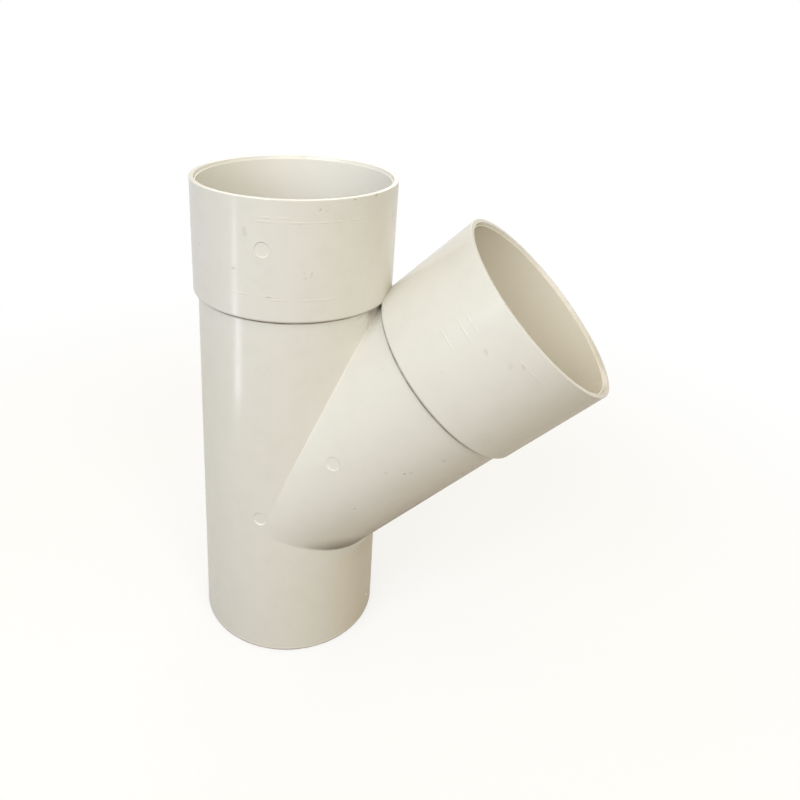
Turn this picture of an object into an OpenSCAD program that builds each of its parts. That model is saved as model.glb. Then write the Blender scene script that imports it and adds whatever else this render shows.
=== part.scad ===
// 45 degree branch for 160 mm drain pipe: a straight run with a plain spigot below and a
// socket above, and a branch of the same bore that ends in a second socket.
// One hollow moulding. The origin is the centre of the spigot's end face, the run rises
// along +Z and the branch leans towards +X.

/* [Pipe] */
// Outside diameter of the pipe, and of the spigot
pipe_d = 160; // [125:1:200]
// Wall of the spigot and of the pipe that butts against the stops
pipe_wall = 4; // [3:0.1:6]

/* [Body] */
// Angle between the run and the branch
branch_angle = 45; // [42:1:60]
// Length of the plain spigot
spigot_len = 90; // [60:1:160]
// Length from the spigot up to the heel of the branch
heel_gap = 3; // [2:0.5:20]
// Length from the crotch up to the run socket's shoulder
run_neck = 3.2; // [2.5:0.1:40]
// Length from the crotch out to the branch socket's shoulder
branch_neck = 4; // [2.5:0.1:40]
// Draft that widens the body away from the spigot, in degrees
body_draft = 0.1; // [0.05:0.01:0.3]
// Chamfer round the spigot's end
spigot_chamfer = 0.8; // [0.4:0.1:3]

/* [Sockets] */
// Length of a socket from its shoulder to its rim
socket_len = 96.5; // [60:0.5:130]
// Diameter of a socket beyond the pipe's
socket_play = 0.3; // [0.2:0.05:0.6]
// Wall of a socket at its shoulder
socket_wall = 4.4; // [3:0.1:7]
// How much wider a socket is outside at its rim than at its shoulder, on the radius
socket_flare = 0.8; // [0.2:0.1:1.5]
// Height of the pipe stop above the shoulder
stop_rise = 3.5; // [1:0.1:6]
// Depth of the lead-in inside the rim
lead_in_len = 3; // [2:0.5:10]
// Width of the lead-in at the rim, on the radius
lead_in_width = 1.6; // [0.8:0.1:2]
// Width of the ledge at the lead-in's foot, on the radius
ledge_width = 0.6; // [0.2:0.1:0.6]
// Rise of the ledge at the lead-in's foot
ledge_rise = 0.4; // [0.2:0.1:1]
// Rounding of the shoulder's outer edge
shoulder_round = 2.5; // [1:0.1:2.5]
// Rounding of the rim's outer edge
rim_round = 0.5; // [0.2:0.1:1]

/* [Marks] */
// Diameter of the shallow round marks that the mould leaves, at the surface
mark_d = 12.4; // [6:0.1:20]
// Depth of the marks at their middle
mark_depth = 0.8; // [0.4:0.1:1.2]

/* [Hidden] */
$fn = 96;
// How far a cut runs past the face that it opens
overrun = 2;
// Straight steps in a rounded edge of a profile
arc_steps = 5;

pipe_r = pipe_d / 2;
bore_r = pipe_r - pipe_wall;
socket_r = pipe_r + socket_play / 2;
shoulder_r = socket_r + socket_wall;
rim_r = shoulder_r + socket_flare;
// The run's axis and the branch's axis cross at this height
crossing_z = spigot_len + heel_gap + pipe_r * tan(branch_angle / 2);
// From the crossing to the crotch, along either axis
crotch = pipe_r / tan(branch_angle / 2);
run_reach = crotch + run_neck;
branch_reach = crotch + branch_neck;
// Both bodies have this radius at the crossing, so that they meet in two flat curves
crossing_r = pipe_r + (crossing_z - spigot_len) * tan(body_draft);

// Outside radius of a body at a distance from the crossing
function body_r(reach) = crossing_r + reach * tan(body_draft);

// Points of an arc about a centre, from one angle to another
function arc(centre, r, from, to) =
    [for (i = [0:arc_steps]) let (a = from + (to - from) * i / arc_steps)
        centre + r * [cos(a), sin(a)]];

// Outside of a socket as profile points, from its shoulder up to its rim and the axis
function socket_outside(shoulder_z) =
    let (rim_z = shoulder_z + socket_len)
    concat(
        arc([shoulder_r - shoulder_round, shoulder_z + shoulder_round], shoulder_round, -90, 0),
        arc([rim_r - rim_round, rim_z - rim_round], rim_round, 0, 90),
        [[0, rim_z]]);

// Inside of a passage as profile points: pipe bore, stop, socket, ledge and lead-in
function passage_inside(start_z, shoulder_z) =
    let (rim_z = shoulder_z + socket_len, lead_z = rim_z - lead_in_len,
        slope = (lead_in_width - ledge_width) / (lead_in_len - ledge_rise))
    [[0, start_z], [bore_r, start_z], [bore_r, shoulder_z + stop_rise],
        [socket_r, shoulder_z + stop_rise], [socket_r, lead_z],
        [socket_r + ledge_width, lead_z + ledge_rise],
        [socket_r + lead_in_width + slope * overrun, rim_z + overrun], [0, rim_z + overrun]];

module along_branch() {
    translate([0, 0, crossing_z]) rotate([0, branch_angle, 0]) children();
}

module run_form() {
    shoulder_z = crossing_z + run_reach;
    rotate_extrude() polygon(concat(
        [[0, 0], [pipe_r - spigot_chamfer, 0], [pipe_r, spigot_chamfer], [pipe_r, spigot_len],
            [body_r(run_reach), shoulder_z]],
        socket_outside(shoulder_z)));
}

module branch_form() {
    rotate_extrude() polygon(concat(
        [[0, 0], [crossing_r, 0], [body_r(branch_reach), branch_reach]],
        socket_outside(branch_reach)));
}

module run_passage() {
    rotate_extrude() polygon(passage_inside(-overrun, crossing_z + run_reach));
}

module branch_passage() {
    rotate_extrude() polygon(passage_inside(0, branch_reach));
}

// Cut for a round mark with a flat floor and walls at 45 degrees, in an outside of that radius,
// facing the given way round the axis
module mark(outside_r, along, facing) {
    rotate([0, 0, facing]) translate([outside_r - mark_depth, 0, along])
        rotate([0, 90, 0])
            cylinder(d1 = mark_d - 2 * mark_depth, d2 = mark_d + 2 * overrun, h = mark_depth + overrun);
}

// Marks on the front: on the run's socket, beside the branch's tip and halfway along the branch
module run_marks() {
    mark(shoulder_r + 0.6 * socket_flare, crossing_z + run_reach + 0.6 * socket_len, -87);
    mark(body_r(pipe_r / 6), crossing_z + pipe_r / 6, -90);
}

module branch_marks() {
    mark(body_r(crotch / 2), 0.52 * crotch, -99);
}

module branch_fitting() {
    color([0.87, 0.855, 0.80]) difference() {
        union() {
            run_form();
            along_branch() branch_form();
        }
        run_passage();
        along_branch() branch_passage();
        run_marks();
        along_branch() branch_marks();
    }
}

branch_fitting();
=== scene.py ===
"""Looks of the 160 mm drain branch: one ivory PVC moulding on a plain pale floor.

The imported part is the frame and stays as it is. This script gives it its moulded plastic
material, adds the burr that the moulding has on its rim, and sets the floor, the lamps and
the camera. Lengths are in metres and the frame is the part's own: the origin is the centre
of the spigot's end face, the run rises along +Z and the branch leans towards +X.
"""

import math
from collections import namedtuple

import bpy
from mathutils import Matrix, Vector


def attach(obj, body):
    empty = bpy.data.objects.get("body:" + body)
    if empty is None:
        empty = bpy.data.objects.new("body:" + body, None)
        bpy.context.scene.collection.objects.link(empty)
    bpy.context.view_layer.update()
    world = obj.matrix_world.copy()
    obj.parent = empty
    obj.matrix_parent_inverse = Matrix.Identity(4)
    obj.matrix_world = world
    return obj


MM = 0.001

# The part's own measures, as in its source
CROSSING_Z = 126.137 * MM
BRANCH_ANGLE = math.radians(45)
RIM_R = 85.35 * MM
RIM_Z = 418.974 * MM
RUN_SHOULDER = 196.337 * MM
BRANCH_SHOULDER = 197.137 * MM
# Where the crotch's stain streaks and its pool of painted shade centre, at the front and mirrored at the back
CROTCH = (75.4 * MM, 27.4 * MM, 320.0 * MM)

# Camera: pinhole matched to the photograph's framing, for a picture 800 wide and 800 high
PICTURE = 800
SENSOR = 36.0
CAMERA_AT = (199.75 * MM, -576.84 * MM, 553.04 * MM)
CAMERA_YAW = math.radians(-13.913)
CAMERA_PITCH = math.radians(19.329)
CAMERA_ROLL = math.radians(2.379)
CAMERA_FOCAL = 754.62
CAMERA_CENTRE = (358.5, 268.64)

PVC_LIGHT = (0.782, 0.764, 0.716, 1)
PVC_WARM = (0.767, 0.748, 0.692, 1)
PVC_DULL = (0.727, 0.709, 0.660, 1)
# Lighter, warmer copies of the plastic for the sockets' insides: painted light
RUN_INSIDE_PAINTED_LIGHT = (0.830, 0.814, 0.774, 1)
BRANCH_INSIDE_PAINTED_LIGHT = (0.800, 0.757, 0.668, 1)
# Pale colour of painted highlights: the seam, the spigot's bottom edge and the mould lines
EDGE_PAINTED_HIGHLIGHT = (0.93, 0.90, 0.85, 1)
# Warm brown of the painted shade under the branch and low on the spigot's right
UNDERSIDE_WARM_SHADE = (0.78, 0.68, 0.51, 1)
# Dark colour of real specks, scuffs, smudges and stain streaks, and of painted shade in the crotch, under the
# branch and under the mould lines; also the darker band at the spigot's bottom edge
DIRT_AND_SHADE = (0.26, 0.20, 0.14, 1)
# Colour of the painted shade in the corners under both shoulders
SHOULDER_SHADE_COLOUR = (0.16, 0.115, 0.075, 1)

# Share of its colour that each kind of wear, and the mould lines' painted highlight and shade, lays over the
# plastic
DULL_SHARE = 0.5
SPECK_SHARE = 0.5
SCUFF_SHARE = 0.16
LINE_HIGHLIGHT_SHARE = 0.7
LINE_SHADE_SHARE = 0.16

# Faint mould lines: mm along the axis from the crossing, then first and last angle in degrees
RUN_LINES = [
    (276.4, -94, -26),
    (279.6, -91, -70),
    (236.5, -107, -98),
    (218.2, -108, -74),
    (215.8, -86, -44),
]
BRANCH_LINES = [(243.0, -126, -107), (258.0, -125, -107), (266.0, -124, -106), (278.0, -96, -68)]

# Small smudges and nicks: mm along the axis, angle in degrees, half length and half width in mm,
# slant in degrees away from the axis, and strength
RUN_SPOTS = [
    (267.0, -96.4, 4.2, 2.2, 12, 0.13),
    (264.6, -95.2, 1.8, 1.6, 0, 0.15),
    (285.8, -58.6, 1.7, 1.0, 60, 0.36),
    (284.6, -55.0, 3.2, 0.8, 62, 0.11),
    (281.8, -60.5, 2.6, 0.8, -15, 0.10),
    (235.6, -62.0, 3.2, 1.0, 15, 0.18),
    (233.4, -65.0, 2.2, 1.1, 60, 0.14),
    (237.4, -65.6, 1.4, 1.0, 0, 0.16),
    (236.5, -103.3, 0.8, 2.6, 0, 0.45),
    (217.2, -83.6, 0.6, 3.0, 0, 0.42),
    (291.6, -25.1, 1.0, 2.2, 0, 0.48),
    (291.5, -39.7, 0.8, 1.8, 0, 0.45),
    (190.7, -4.9, 3.0, 2.6, 0, 0.85),
]
BRANCH_SPOTS = [
    (141.6, -69.6, 1.2, 1.0, 0, 0.60),
    (146.0, -68.0, 2.4, 2.0, 20, 0.13),
    (83.9, -67.9, 1.7, 1.4, 20, 0.34),
    (131.0, -77.0, 2.2, 1.6, 30, 0.15),
    (262.2, -102.1, 2.0, 3.6, 20, 0.14),
    (276.5, -86.0, 1.8, 3.2, 30, 0.14),
    (270.0, -90.0, 2.6, 4.0, 45, 0.09),
    (173.0, -62.0, 1.6, 2.0, 0, 0.20),
]

# Flash left on the rim of the run's socket: degrees round it, and width outwards in mm
RIM_BURR = [(144.0, 0.0), (145.2, 1.6), (146.6, 3.4), (148.0, 1.6), (149.6, 2.2), (151.0, 0.0)]
BURR_THICK = 0.5 * MM
BURR_BELOW_RIM = 0.3 * MM
BURR_ROOT = 1.2 * MM
BURR_START = 0.1 * MM

FLOOR_REACH = 6.0
FLOOR_SIDES = 96
FLOOR_DROP = 0.0003

# Lamps: place, aim, side lengths, power and colour
AIM = (0.05, 0, 0.25)
LAMP_SIZE = (1.5, 1.5)
LAMPS = {
    "key": ((-0.6, -1.75, 1.45), AIM, LAMP_SIZE, 23.2, (0.80, 0.887, 1.0)),
    "fill": ((1.2, -1.6, 1.2), AIM, LAMP_SIZE, 13.9, (1.0, 0.97, 0.935)),
    "high": ((0.75, -1.3, 1.8), (0.05, 0, 0.3), LAMP_SIZE, 3.4, (1.0, 0.92, 0.65)),
    "back": ((-0.3, 2.0, 1.3), (0.05, 0, 0.22), LAMP_SIZE, 9, (1.0, 0.98, 0.95)),
}
# Lamp strip just above the floor, whose reflection is the narrow upright glint on the run
STRIP_TURN = math.radians(-136)
STRIP_AWAY = 1.05
STRIP_HEIGHT = 0.003
STRIP_SIZE = (1.1, 0.08)
STRIP_POWER = 1.3
STRIP_COLOUR = (0.82, 0.90, 1.0)

# Place on a pipe: length along its axis from the crossing, angle round it, distance out from it
Pipe = namedtuple("Pipe", "along turn out")


class Graph:
    """Short hand for a node tree: each call adds its nodes and returns the output socket."""

    def __init__(self, tree):
        self.tree = tree
        self.tree.nodes.clear()

    def node(self, kind, inputs=None, **settings):
        made = self.tree.nodes.new(kind)
        for name, value in settings.items():
            setattr(made, name, value)
        for name, value in (inputs or {}).items():
            self.feed(made.inputs[name], value)
        return made

    def feed(self, socket, value):
        if isinstance(value, bpy.types.NodeSocket):
            self.tree.links.new(value, socket)
        else:
            socket.default_value = value

    def math(self, operation, a, b=0.0, c=0.0, clamp=False):
        made = self.node("ShaderNodeMath", {0: a, 1: b, 2: c}, operation=operation, use_clamp=clamp)
        return made.outputs[0]

    def times(self, total, *factors):
        for factor in factors:
            total = self.math("MULTIPLY", total, factor)
        return total

    def most(self, total, *others):
        for other in others:
            total = self.math("MAXIMUM", total, other)
        return total

    def span(self, value, low, high, out_low=0.0, out_high=1.0):
        """A smooth step of value from low to high."""
        made = self.node(
            "ShaderNodeMapRange",
            {"Value": value, "From Min": low, "From Max": high, "To Min": out_low, "To Max": out_high},
            interpolation_type="SMOOTHSTEP",
        )
        return made.outputs["Result"]

    def span_mm(self, value, low, high, out_low=0.0, out_high=1.0):
        return self.span(value, low * MM, high * MM, out_low, out_high)

    def span_degrees(self, value, low, high, out_low=0.0, out_high=1.0):
        return self.span(value, math.radians(low), math.radians(high), out_low, out_high)

    def noise(self, vector, scale, detail=2.0, roughness=0.5, output="Fac"):
        made = self.node(
            "ShaderNodeTexNoise",
            {"Vector": vector, "Scale": scale, "Detail": detail, "Roughness": roughness},
        )
        return made.outputs[output]

    def blend(self, factor, a, b):
        made = self.node("ShaderNodeMix", data_type="RGBA", blend_type="MIX")
        self.feed(made.inputs[0], factor)
        self.feed(made.inputs[6], a)
        self.feed(made.inputs[7], b)
        return made.outputs[2]

    def parts(self, vector):
        made = self.node("ShaderNodeSeparateXYZ", {"Vector": vector})
        return made.outputs[0], made.outputs[1], made.outputs[2]

    def vector(self, x, y, z):
        return self.node("ShaderNodeCombineXYZ", {"X": x, "Y": y, "Z": z}).outputs[0]

    def vector_math(self, operation, *values):
        """The node of a vector operation, whose vector is output 0 and whose number is Value."""
        return self.node("ShaderNodeVectorMath", dict(enumerate(values)), operation=operation)

    def distance(self, x, y):
        """Length of the flat vector x, y."""
        return self.math("SQRT", self.math("ADD", self.math("MULTIPLY", x, x), self.math("MULTIPLY", y, y)))


def pipe_coordinates(graph, place):
    """The place as seen from the run's axis, and as seen from the branch's axis."""
    found = []
    for angle in (0.0, -BRANCH_ANGLE):
        turned = graph.node(
            "ShaderNodeVectorRotate",
            {"Vector": place, "Center": (0, 0, CROSSING_Z), "Axis": (0, 1, 0), "Angle": angle},
        ).outputs[0]
        x, y, z = graph.parts(turned)
        along = graph.math("SUBTRACT", z, CROSSING_Z)
        found.append(Pipe(along, graph.math("ARCTAN2", y, x), graph.distance(x, y)))
    return found


def clean_plastic(graph, place):
    """Cloudy ivory with a finer dull mottle."""
    cloud = graph.span(graph.noise(place, 8.0, 2.0), 0.3, 0.7)
    colour = graph.blend(cloud, PVC_LIGHT, PVC_WARM)
    fine = graph.span(graph.noise(place, 60.0, 4.0, 0.6), 0.4, 0.8)
    return graph.blend(graph.times(fine, DULL_SHARE), colour, PVC_DULL)


def socket_inside(graph, pipe, first, last):
    """One inside a socket, from a smooth step between two lengths along its axis."""
    return graph.times(graph.span_mm(pipe.out, 80.5, 81.8, 1.0, 0.0), graph.span_mm(pipe.along, first, last))


def specks(graph, place):
    """Sparse dark specks: a dot in a few cells of the surface."""
    cell = graph.node("ShaderNodeTexVoronoi", {"Vector": place, "Scale": 55.0})
    rare = graph.span(graph.parts(cell.outputs["Color"])[0], 0.84, 0.88)
    dot = graph.span(cell.outputs["Distance"], 0.025, 0.05, 1.0, 0.0)
    return graph.times(rare, dot)


def scuffs(graph, place):
    """Short slanting scuffs that gather in patches."""
    stretched = graph.node(
        "ShaderNodeMapping", {"Vector": place, "Rotation": (0.5, 0.35, 0.9), "Scale": (1.0, 14.0, 4.0)}
    ).outputs[0]
    scuff = graph.span(graph.noise(stretched, 42.0, 3.0, 0.5), 0.64, 0.70)
    patch = graph.span(graph.noise(place, 21.0, 1.0), 0.54, 0.66)
    return graph.times(scuff, patch)


def corner_line(graph, pipe, shoulder, reach):
    """The corner between a body and its socket's shoulder, which starts at reach below it."""
    above = graph.span(pipe.along, shoulder - reach, shoulder - reach + 1.2 * MM)
    below = graph.span(pipe.along, shoulder + 0.6 * MM, shoulder + 1.6 * MM, 1.0, 0.0)
    outside = graph.span_mm(pipe.out, 78.5, 79.5)
    inside = graph.span_mm(pipe.out, 81.2, 82.6, 1.0, 0.0)
    return graph.times(above, below, outside, inside)


def shoulder_painted_shade(graph, place, run, branch):
    """Painted shade: thin uneven dark lines in the corners under both shoulders."""
    run_line = corner_line(graph, run, RUN_SHOULDER, 2.5 * MM)
    branch_line = graph.times(corner_line(graph, branch, BRANCH_SHOULDER, 3.0 * MM), 0.8)
    uneven = graph.span(graph.noise(place, 90.0, 3.0), 0.25, 0.6, 0.55, 1.0)
    return graph.times(graph.most(run_line, branch_line), uneven)


def bodies_outside(graph, run, branch):
    """One on the outside of both bodies, below their shoulders."""
    return graph.times(
        graph.span_mm(run.out, 78.0, 79.5),
        graph.span_mm(branch.out, 78.0, 79.5),
        graph.span(run.along, RUN_SHOULDER, RUN_SHOULDER + 0.6 * MM, 1.0, 0.0),
        graph.span(branch.along, BRANCH_SHOULDER, BRANCH_SHOULDER + 0.6 * MM, 1.0, 0.0),
    )


def crotch_stain_and_shade(graph, place):
    """Stain that runs away from the crotch in streaks, and painted shade pooled in the crotch."""
    x, y, z = graph.parts(place)
    folded = graph.vector(x, graph.math("ABSOLUTE", y), z)
    away = graph.vector_math("SUBTRACT", folded, CROTCH).outputs[0]
    far = graph.vector_math("LENGTH", away).outputs["Value"]
    heading = graph.vector_math("NORMALIZE", away).outputs[0]
    streaks = graph.span(graph.noise(heading, 9.0, 3.0, 0.6), 0.5, 0.62)
    streaks = graph.times(streaks, graph.span_mm(far, 5.0, 24.0, 1.0, 0.0), 0.3)
    # Painted shade pooled in the crotch
    pool = graph.times(graph.span_mm(far, 2.0, 9.0, 1.0, 0.0), 0.55)
    return graph.most(streaks, pool)


def seam_painted_highlight(graph, run, branch):
    """Painted highlight: a thin pale line along the edge where the two bodies meet, on the crotch's side."""
    off = graph.math("ABSOLUTE", graph.math("SUBTRACT", run.out, branch.out))
    return graph.times(graph.span_mm(off, 0.15, 0.5, 1.0, 0.0), graph.span_mm(run.along, 40.0, 80.0), 0.6)


def underside_painted_shade(graph, run, branch):
    """Painted shade under the branch, in its heel and low on the run's right: a warm brown tone and a darker
    one.
    """
    lowest = graph.math("ABSOLUTE", branch.turn)
    rightmost = graph.math("ABSOLUTE", run.turn)
    off_run = graph.span_mm(run.out, 80.5, 84.0)
    on_spigot = graph.span_mm(run.along, -38.0, -34.0, 1.0, 0.0)

    spread = graph.span_degrees(lowest, 34, 72, 0.45, 0.0)
    beneath = graph.times(spread, off_run, graph.span_mm(branch.along, 120.0, 240.0, 1.0, 0.5))
    right = graph.times(graph.span_degrees(rightmost, 12, 62, 0.62, 0.0), on_spigot)
    warm_shade = graph.most(beneath, right)

    edge = graph.times(
        graph.span_degrees(lowest, 28, 52, 1.0, 0.0),
        graph.span_degrees(lowest, 0, 26, 0.15, 0.6),
        graph.span_mm(branch.along, 110.0, 192.0, 1.0, 0.45),
        graph.span_mm(branch.out, 82.0, 83.5, 1.0, 0.7),
        off_run,
    )
    heel = graph.times(
        graph.span_degrees(lowest, 46, 74, 1.0, 0.0),
        graph.span_mm(run.along, -22.0, 2.0, 1.0, 0.0),
        graph.span_mm(run.out, 80.4, 81.2),
    )
    right_edge = graph.times(graph.span_degrees(rightmost, 8, 40, 0.2, 0.0), on_spigot)
    return warm_shade, graph.most(edge, heel, right_edge)


def spots(graph, pipe, place, table):
    """Smudges and nicks in an outside, each a soft oval with an uneven edge."""
    around = graph.times(pipe.turn, RIM_R)
    flat = graph.vector(pipe.along, around, 0.0)
    rough = graph.noise(place, 420.0, 3.0, output="Color")
    stray = graph.vector_math("SUBTRACT", rough, (0.5, 0.5, 0.5)).outputs[0]
    flat = graph.vector_math("MULTIPLY_ADD", stray, (3.0 * MM, 3.0 * MM, 0.0), flat).outputs[0]
    total = 0.0
    for at, angle, half_long, half_wide, slant, strength in table:
        here = graph.node(
            "ShaderNodeMapping",
            {
                "Vector": flat,
                "Location": (at * MM, math.radians(angle) * RIM_R, 0.0),
                "Rotation": (0.0, 0.0, math.radians(slant)),
                "Scale": (half_long * MM, half_wide * MM, 1.0),
            },
            vector_type="TEXTURE",
        ).outputs[0]
        far = graph.vector_math("LENGTH", here).outputs["Value"]
        total = graph.most(total, graph.span(far, 0.35, 1.1, strength, 0.0))
    return total


def mould_lines(graph, pipe, table, lower=0.0):
    """Faint lines round a socket: each is a place along the axis and the angles it spans."""
    total = 0.0
    for place, first, last in table:
        off = graph.math("ABSOLUTE", graph.math("SUBTRACT", pipe.along, (place - lower) * MM))
        line = graph.times(
            graph.span_mm(off, 0.1, 0.55, 1.0, 0.0),
            graph.span_degrees(pipe.turn, first, first + 6),
            graph.span_degrees(pipe.turn, last - 10, last, 1.0, 0.0),
        )
        total = graph.most(total, line)
    return graph.times(total, graph.span_mm(pipe.out, 83.0, 83.6))


def pvc():
    """Moulded ivory PVC: cloudy colour, sparse specks, scuffs, smudges, stain streaks, mould lines; painted
    light inside the sockets, painted highlights on edges and mould lines, painted shade in corners, the
    crotch and under the branch.
    """
    made = bpy.data.materials.new("ivory_pvc_moulded")
    made.use_nodes = True
    graph = Graph(made.node_tree)
    place = graph.node("ShaderNodeTexCoord").outputs["Object"]
    run, branch = pipe_coordinates(graph, place)

    colour = clean_plastic(graph, place)
    # Painted light: the insides of both sockets get lighter, warmer copies of the plastic
    within_run = socket_inside(graph, run, 190.0, 201.0)
    colour = graph.blend(within_run, colour, RUN_INSIDE_PAINTED_LIGHT)
    within_branch = socket_inside(graph, branch, 190.0, 202.0)
    colour = graph.blend(within_branch, colour, BRANCH_INSIDE_PAINTED_LIGHT)
    colour = graph.blend(graph.times(specks(graph, place), SPECK_SHARE), colour, DIRT_AND_SHADE)
    scuff = scuffs(graph, place)
    colour = graph.blend(graph.times(scuff, SCUFF_SHARE), colour, DIRT_AND_SHADE)
    # Painted shade in the corners under both shoulders
    shoulder_shade = shoulder_painted_shade(graph, place, run, branch)
    colour = graph.blend(shoulder_shade, colour, SHOULDER_SHADE_COLOUR)

    on_body = bodies_outside(graph, run, branch)
    # Stain streaks from the crotch, and painted shade pooled in it
    corner = graph.times(crotch_stain_and_shade(graph, place), on_body)
    colour = graph.blend(corner, colour, DIRT_AND_SHADE)
    # Painted highlight along the seam where the two bodies meet
    seam_highlight = graph.times(seam_painted_highlight(graph, run, branch), on_body)
    colour = graph.blend(seam_highlight, colour, EDGE_PAINTED_HIGHLIGHT)

    outside = graph.times(
        graph.span_mm(graph.math("MINIMUM", run.out, branch.out), 78.0, 79.5),
        graph.math("SUBTRACT", 1.0, graph.most(within_run, within_branch)),
    )
    uneven = graph.times(graph.span(graph.noise(place, 34.0, 3.0, 0.6), 0.3, 0.7, 0.8, 1.0), outside)
    # Painted shade under the branch, in its heel and low on the spigot's right: warm, then darker
    warm_shade, dark_shade = underside_painted_shade(graph, run, branch)
    colour = graph.blend(graph.times(warm_shade, uneven), colour, UNDERSIDE_WARM_SHADE)
    colour = graph.blend(graph.times(dark_shade, uneven), colour, DIRT_AND_SHADE)

    height_up = graph.parts(place)[2]
    # Spigot's bottom edge: a patchy painted highlight band, and below it a darker band
    patchy = graph.span(graph.noise(place, 70.0, 3.0), 0.3, 0.6, 0.4, 1.0)
    end_painted_highlight = graph.times(
        graph.span_mm(height_up, 2.6, 4.0, 0.5, 0.0), patchy, graph.span_mm(run.out, 78.6, 79.0)
    )
    colour = graph.blend(end_painted_highlight, colour, EDGE_PAINTED_HIGHLIGHT)
    end_darker_band = graph.times(graph.span_mm(height_up, 1.3, 2.2, 0.8, 0.0), patchy)
    colour = graph.blend(end_darker_band, colour, DIRT_AND_SHADE)

    marks = graph.most(
        graph.times(spots(graph, run, place, RUN_SPOTS), graph.span_mm(run.out, 79.3, 79.7)),
        graph.times(spots(graph, branch, place, BRANCH_SPOTS), graph.span_mm(run.out, 81.0, 90.0)),
    )
    marks = graph.times(marks, outside)
    colour = graph.blend(marks, colour, DIRT_AND_SHADE)

    broken = graph.span(graph.noise(place, 130.0, 2.0), 0.35, 0.6)
    lines = graph.most(mould_lines(graph, run, RUN_LINES), mould_lines(graph, branch, BRANCH_LINES))
    lines = graph.times(lines, broken)
    # Painted highlight: a pale line on each mould line
    colour = graph.blend(graph.times(lines, LINE_HIGHLIGHT_SHARE), colour, EDGE_PAINTED_HIGHLIGHT)
    # Painted shade: a dark line just under each mould line
    shade = graph.most(mould_lines(graph, run, RUN_LINES, 1.0), mould_lines(graph, branch, BRANCH_LINES, 1.0))
    colour = graph.blend(graph.times(shade, broken, LINE_SHADE_SHARE), colour, DIRT_AND_SHADE)

    waves = graph.vector(graph.times(run.along, 700.0), graph.times(run.turn, 0.8), 0.0)
    height = graph.times(graph.noise(waves, 1.0, 3.0, 0.6), 0.15)
    height = graph.math("ADD", height, graph.times(graph.noise(place, 420.0, 2.0), 0.3))
    height = graph.math("SUBTRACT", height, graph.times(scuff, 0.3))
    height = graph.math("ADD", height, graph.times(lines, 3.0))
    height = graph.math("ADD", height, graph.times(seam_highlight, 3.0))
    height = graph.math("SUBTRACT", height, graph.times(marks, 2.0))
    bump = graph.node("ShaderNodeBump", {"Strength": 0.25, "Distance": 0.1 * MM, "Height": height}).outputs[0]

    rough = graph.span(graph.noise(place, 26.0, 3.0), 0.3, 0.7, 0.17, 0.23)
    rough = graph.math("ADD", rough, graph.times(scuff, 0.2))
    rough = graph.math("ADD", rough, graph.times(graph.most(shoulder_shade, corner), 0.4))
    facing = graph.node("ShaderNodeLayerWeight", {"Blend": 0.5}).outputs["Facing"]
    gloss = graph.span(facing, 0.55, 0.95, 0.5, 0.04)
    shader = graph.node(
        "ShaderNodeBsdfPrincipled",
        {"Base Color": colour, "Roughness": rough, "Normal": bump, "IOR": 1.53, "Specular IOR Level": gloss},
    )
    graph.node("ShaderNodeOutputMaterial", {"Surface": shader.outputs[0]})
    return made


def make_burr(plastic):
    """The bit of flash on the far side of the run's rim: a thin uneven fin that stands outwards."""
    top = RIM_Z - BURR_BELOW_RIM
    places = []
    for height in (top, top - BURR_THICK):
        for outwards in (False, True):
            for angle, width in RIM_BURR:
                turn = math.radians(angle)
                reach = RIM_R - BURR_START + width * MM if outwards else RIM_R - BURR_ROOT
                places.append((reach * math.cos(turn), reach * math.sin(turn), height))
    count = len(RIM_BURR)
    upper_in, upper_out, lower_in, lower_out = (range(i * count, (i + 1) * count) for i in range(4))
    faces = []
    for i in range(count - 1):
        faces.append((upper_in[i], upper_out[i], upper_out[i + 1], upper_in[i + 1]))
        faces.append((lower_in[i], lower_in[i + 1], lower_out[i + 1], lower_out[i]))
        faces.append((upper_out[i], lower_out[i], lower_out[i + 1], upper_out[i + 1]))
        faces.append((upper_in[i], upper_in[i + 1], lower_in[i + 1], lower_in[i]))
    faces.append((upper_in[0], lower_in[0], lower_out[0], upper_out[0]))
    faces.append((upper_in[-1], upper_out[-1], lower_out[-1], lower_in[-1]))
    mesh = bpy.data.meshes.new("rim_burr")
    mesh.from_pydata(places, [], faces)
    mesh.materials.append(plastic)
    burr = bpy.data.objects.new("rim_burr", mesh)
    bpy.context.scene.collection.objects.link(burr)
    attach(burr, "root")


def seen_through(graph, *kinds):
    """One for the named kinds of ray, else zero."""
    rays = graph.node("ShaderNodeLightPath").outputs
    total = rays[f"Is {kinds[0]} Ray"]
    for kind in kinds[1:]:
        total = graph.math("ADD", total, rays[f"Is {kind} Ray"], clamp=True)
    return total


def floor_material():
    """White to the camera with the object's shadow on it, and a warm dull bench to other rays."""
    made = bpy.data.materials.new("pale_floor")
    made.use_nodes = True
    graph = Graph(made.node_tree)
    place = graph.node("ShaderNodeTexCoord").outputs["Object"]
    x, y, _ = graph.parts(place)
    close = graph.span(graph.distance(x, y), 0.3, 0.9, 1.0, 0.0)
    share = graph.math("ADD", 0.3, graph.math("MULTIPLY", 0.6, seen_through(graph, "Glossy")))
    near = graph.times(close, share)
    white = graph.node("ShaderNodeEmission", {"Color": (1, 1, 1, 1), "Strength": 1.0}).outputs[0]
    lit = graph.node("ShaderNodeBsdfDiffuse", {"Color": (0.97, 0.97, 0.96, 1)}).outputs[0]
    seen = graph.node("ShaderNodeMixShader", {0: near, 1: white, 2: lit}).outputs[0]
    bench = graph.node("ShaderNodeBsdfDiffuse", {"Color": (0.17, 0.12, 0.075, 1)}).outputs[0]
    direct = seen_through(graph, "Camera", "Glossy", "Transmission")
    both = graph.node("ShaderNodeMixShader", {0: direct, 1: bench, 2: seen}).outputs[0]
    graph.node("ShaderNodeOutputMaterial", {"Surface": both})
    return made


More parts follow.
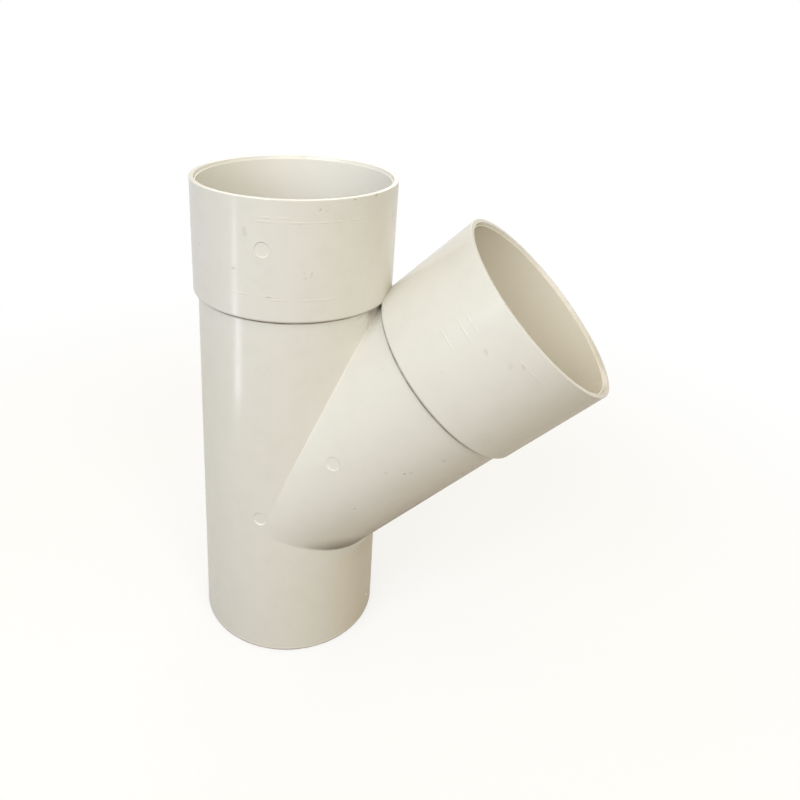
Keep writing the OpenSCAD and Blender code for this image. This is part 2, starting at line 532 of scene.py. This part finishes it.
def make_floor():
    """A wide flat disc just under the spigot's end."""
    turns = [2 * math.pi * i / FLOOR_SIDES for i in range(FLOOR_SIDES)]
    ring = [(FLOOR_REACH * math.cos(turn), FLOOR_REACH * math.sin(turn), 0.0) for turn in turns]
    mesh = bpy.data.meshes.new("floor")
    mesh.from_pydata(ring, [], [list(range(FLOOR_SIDES))])
    mesh.materials.append(floor_material())
    floor = bpy.data.objects.new("floor", mesh)
    bpy.context.scene.collection.objects.link(floor)
    floor.location.z = -FLOOR_DROP


def make_world():
    """White where it is seen, else a soft dome: a little cool on the left and warm on the right."""
    world = bpy.data.worlds.new("soft_dome")
    bpy.context.scene.world = world
    world.use_nodes = True
    graph = Graph(world.node_tree)
    direction = graph.node("ShaderNodeTexCoord").outputs["Generated"]
    x, _, up = graph.parts(direction)
    rightward = graph.math("MULTIPLY_ADD", x, 0.5, 0.5, clamp=True)
    side = graph.blend(rightward, (0.47, 0.525, 0.535, 1), (0.47, 0.47, 0.36, 1))
    sky = graph.blend(graph.most(up, 0.0), side, (0.71, 0.61, 0.44, 1))
    colour = graph.blend(seen_through(graph, "Camera", "Glossy", "Transmission"), sky, (1, 1, 1, 1))
    shader = graph.node("ShaderNodeBackground", {"Color": colour, "Strength": 1.0})
    graph.node("ShaderNodeOutputWorld", {"Surface": shader.outputs[0]})


def lamp(name, at, aim, size, power, colour):
    """A soft rectangular lamp that the camera doesn't see."""
    data = bpy.data.lights.new(name, "AREA")
    data.shape = "RECTANGLE"
    data.size, data.size_y = size
    data.energy = power
    data.color = colour
    made = bpy.data.objects.new(name, data)
    bpy.context.scene.collection.objects.link(made)
    made.location = at
    made.rotation_euler = (Vector(aim) - Vector(at)).to_track_quat("-Z", "Y").to_euler()
    made.visible_camera = False
    return made


def make_lamps():
    """The four soft lamps, and the strip that lies on the floor and faces up."""
    for name, settings in LAMPS.items():
        lamp(name, *settings)
    at = Vector((math.cos(STRIP_TURN), math.sin(STRIP_TURN), 0)) * STRIP_AWAY + Vector((0, 0, STRIP_HEIGHT))
    strip = lamp("window", at, (0, 0, 1), STRIP_SIZE, STRIP_POWER, STRIP_COLOUR)
    strip.rotation_euler = (math.pi, 0, STRIP_TURN)


def make_camera():
    """The camera at the photograph's place, with the shift that its framing needs."""
    data = bpy.data.cameras.new("camera")
    data.sensor_fit = "HORIZONTAL"
    data.sensor_width = SENSOR
    data.lens = CAMERA_FOCAL / PICTURE * SENSOR
    data.shift_x = (PICTURE / 2 - CAMERA_CENTRE[0]) / PICTURE
    data.shift_y = (CAMERA_CENTRE[1] - PICTURE / 2) / PICTURE
    data.clip_start = 0.01
    camera = bpy.data.objects.new("camera", data)
    bpy.context.scene.collection.objects.link(camera)
    sin, cos = math.sin, math.cos
    ahead = Vector(
        (sin(CAMERA_YAW) * cos(CAMERA_PITCH), cos(CAMERA_YAW) * cos(CAMERA_PITCH), -sin(CAMERA_PITCH))
    )
    level = Vector((cos(CAMERA_YAW), -sin(CAMERA_YAW), 0))
    upward = level.cross(ahead)
    right = level * cos(CAMERA_ROLL) + upward * sin(CAMERA_ROLL)
    upward = upward * cos(CAMERA_ROLL) - level * sin(CAMERA_ROLL)
    turn = Matrix((right, upward, -ahead)).transposed().to_4x4()
    camera.matrix_world = Matrix.Translation(CAMERA_AT) @ turn
    bpy.context.scene.camera = camera


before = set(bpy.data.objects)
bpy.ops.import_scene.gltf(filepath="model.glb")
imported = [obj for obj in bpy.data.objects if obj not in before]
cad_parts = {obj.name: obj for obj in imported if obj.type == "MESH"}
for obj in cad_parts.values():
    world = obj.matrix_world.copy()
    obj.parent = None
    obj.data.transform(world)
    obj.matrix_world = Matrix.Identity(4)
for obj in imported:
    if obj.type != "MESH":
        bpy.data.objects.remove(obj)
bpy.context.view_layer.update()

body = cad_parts["branch_fitting"]
plastic = pvc()
for held in body.material_slots:
    held.material = plastic
make_burr(plastic)

make_floor()
make_world()
make_lamps()
make_camera()
bpy.context.scene.view_settings.view_transform = "Standard"
